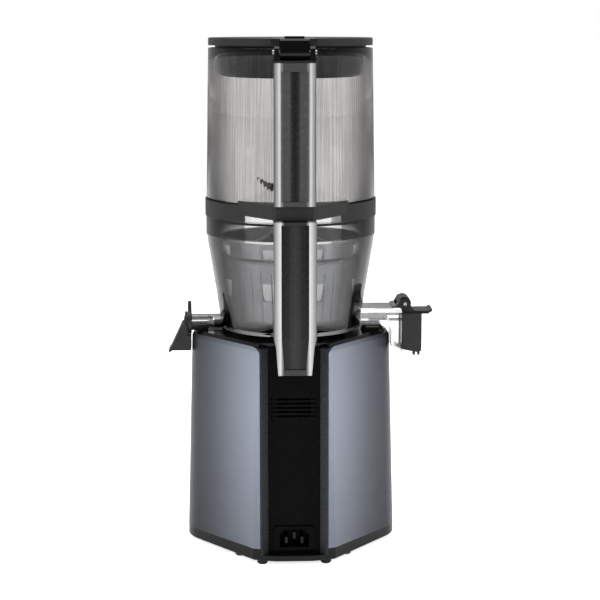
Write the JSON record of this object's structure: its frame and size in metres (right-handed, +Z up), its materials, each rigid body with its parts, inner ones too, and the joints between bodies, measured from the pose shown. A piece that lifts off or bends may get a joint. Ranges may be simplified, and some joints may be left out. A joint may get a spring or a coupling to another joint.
{
  "type": "slow juicer",
  "caption": "Upright slow juicer with a ribbed smoke-clear hopper, hinged lid, twin rear handles, juicing bowl with spout and pulp chute, and a tapered motor base.",
  "frame": {"origin": "middle of the footprint of the whole machine, on the table it stands on", "axes": "+Z up along the drive axis, -Y the front with the dial, +Y the rear with handles and inlet, +X the juice side"},
  "size_m": [0.2354, 0.218, 0.4515],
  "materials": {
    "body_panel": "satin metallic",
    "black_gloss": "gloss",
    "charcoal": "fine matte",
    "trim_grey": "satin",
    "smoke_clear": "clear smoke",
    "smoke_handle": "clear smoke, thick",
    "grip_dark": "translucent dark",
    "strainer_light": "satin",
    "strainer_dark": "satin",
    "auger_grey": "fine matte",
    "silicone": "matte",
    "steel": "turned",
    "lamination": "stacked sheet",
    "copper": "enamelled wire",
    "cast_alloy": "die cast",
    "gear_plastic": "moulded",
    "circuit": "coated board",
    "pointer": "satin"
  },
  "bodies": {
    "base": {"body_shell": "body_panel", "base_plate": "black_gloss", "rubber_feet": "silicone", "base_screws": "steel", "rear_cover": "black_gloss", "rear_trim_left": "trim_grey", "rear_trim_right": "trim_grey", "inlet_socket": "black_gloss", "inlet_pins": "steel", "top_deck": "black_gloss", "motor_stator": "lamination", "stator_windings": "copper", "motor_lower_bell": "cast_alloy", "motor_upper_bell": "cast_alloy", "bearings": "steel", "drive_screws": "steel", "gearbox_case": "cast_alloy", "gearbox_cover": "cast_alloy", "layshaft_pin": "steel", "shaft_seal": "silicone", "control_board": "circuit", "board_parts": "charcoal", "dial_switch": "charcoal", "dial_bezel": "trim_grey"},
    "rotor": {"motor_rotor": "lamination", "motor_shaft": "steel", "motor_pinion": "steel", "cooling_fan": "charcoal"},
    "layshaft": {"layshaft_gear": "gear_plastic"},
    "output": {"output_gear": "gear_plastic", "drive_shaft": "steel"},
    "knob": {"control_knob": "black_gloss", "knob_pointer": "pointer"},
    "bowl": {"juicing_bowl": "smoke_clear", "bowl_seal": "silicone", "compression_plug": "silicone", "bowl_handle": "smoke_handle", "bowl_grip": "grip_dark", "juice_nozzle": "charcoal", "chute_gasket": "silicone", "chute_ears": "black_gloss", "flap_pin": "steel", "strainer_outer": "strainer_dark", "strainer_inner": "strainer_light"},
    "lever": {"juice_lever": "charcoal"},
    "flap": {"pulp_flap": "charcoal"},
    "auger": {"auger": "auger_grey", "auger_socket": "steel", "cutting_wing": "charcoal"},
    "hopper": {"collar_ring": "charcoal", "hopper": "smoke_clear", "hopper_floor": "black_gloss", "hopper_handle": "smoke_handle", "hopper_grip": "grip_dark", "safety_magnet": "steel", "hinge_block": "black_gloss", "hinge_pin": "steel"},
    "lid": {"lid": "charcoal", "lid_skirt": "charcoal", "lid_hinge_arm": "black_gloss"}
  },
  "joints": [
    {"name": "rotor_spin", "type": "hinge", "parent": "base", "child": "rotor", "pos_m": [0.00835, -0.003, 0.06], "axis": [0, 0, 1], "continuous": true},
    {"name": "layshaft_spin", "type": "hinge", "parent": "base", "child": "layshaft", "pos_m": [0.00835, -0.0414, 0.11], "axis": [0, 0, 1], "continuous": true},
    {"name": "output_spin", "type": "hinge", "parent": "base", "child": "output", "pos_m": [0.00835, -0.003, 0.15], "axis": [0, 0, 1], "continuous": true},
    {"name": "knob_turn", "type": "hinge", "parent": "base", "child": "knob", "pos_m": [0.00835, -0.103, 0.1], "axis": [0, 1, 0], "range_deg": [-40, 40]},
    {"name": "bowl_lift", "type": "slide", "parent": "base", "child": "bowl", "axis": [0, 0, 1], "range_m": [0, 0.065]},
    {"name": "auger_spin", "type": "hinge", "parent": "bowl", "child": "auger", "pos_m": [0.00835, -0.003, 0.24], "axis": [0, 0, 1], "continuous": true},
    {"name": "lever_turn", "type": "hinge", "parent": "bowl", "child": "lever", "pos_m": [0.09835, -0.003, 0.1992], "axis": [1, 0, 0], "range_deg": [0, 90]},
    {"name": "flap_swing", "type": "hinge", "parent": "bowl", "child": "flap", "pos_m": [-0.09295, -0.003, 0.2156], "axis": [0, 1, 0], "range_deg": [0, 100]},
    {"name": "hopper_lift", "type": "slide", "parent": "bowl", "child": "hopper", "axis": [0, 0, 1], "range_m": [0, 0.05]},
    {"name": "lid_swing", "type": "hinge", "parent": "hopper", "child": "lid", "pos_m": [0.00835, 0.095, 0.4385], "axis": [-1, 0, 0], "range_deg": [0, 95]}
  ],
  "couplings": [
    {"joint": "layshaft_spin", "follows": "rotor_spin", "ratio": -0.2},
    {"joint": "output_spin", "follows": "rotor_spin", "ratio": 0.066667},
    {"joint": "auger_spin", "follows": "rotor_spin", "ratio": 0.066667}
  ]
}
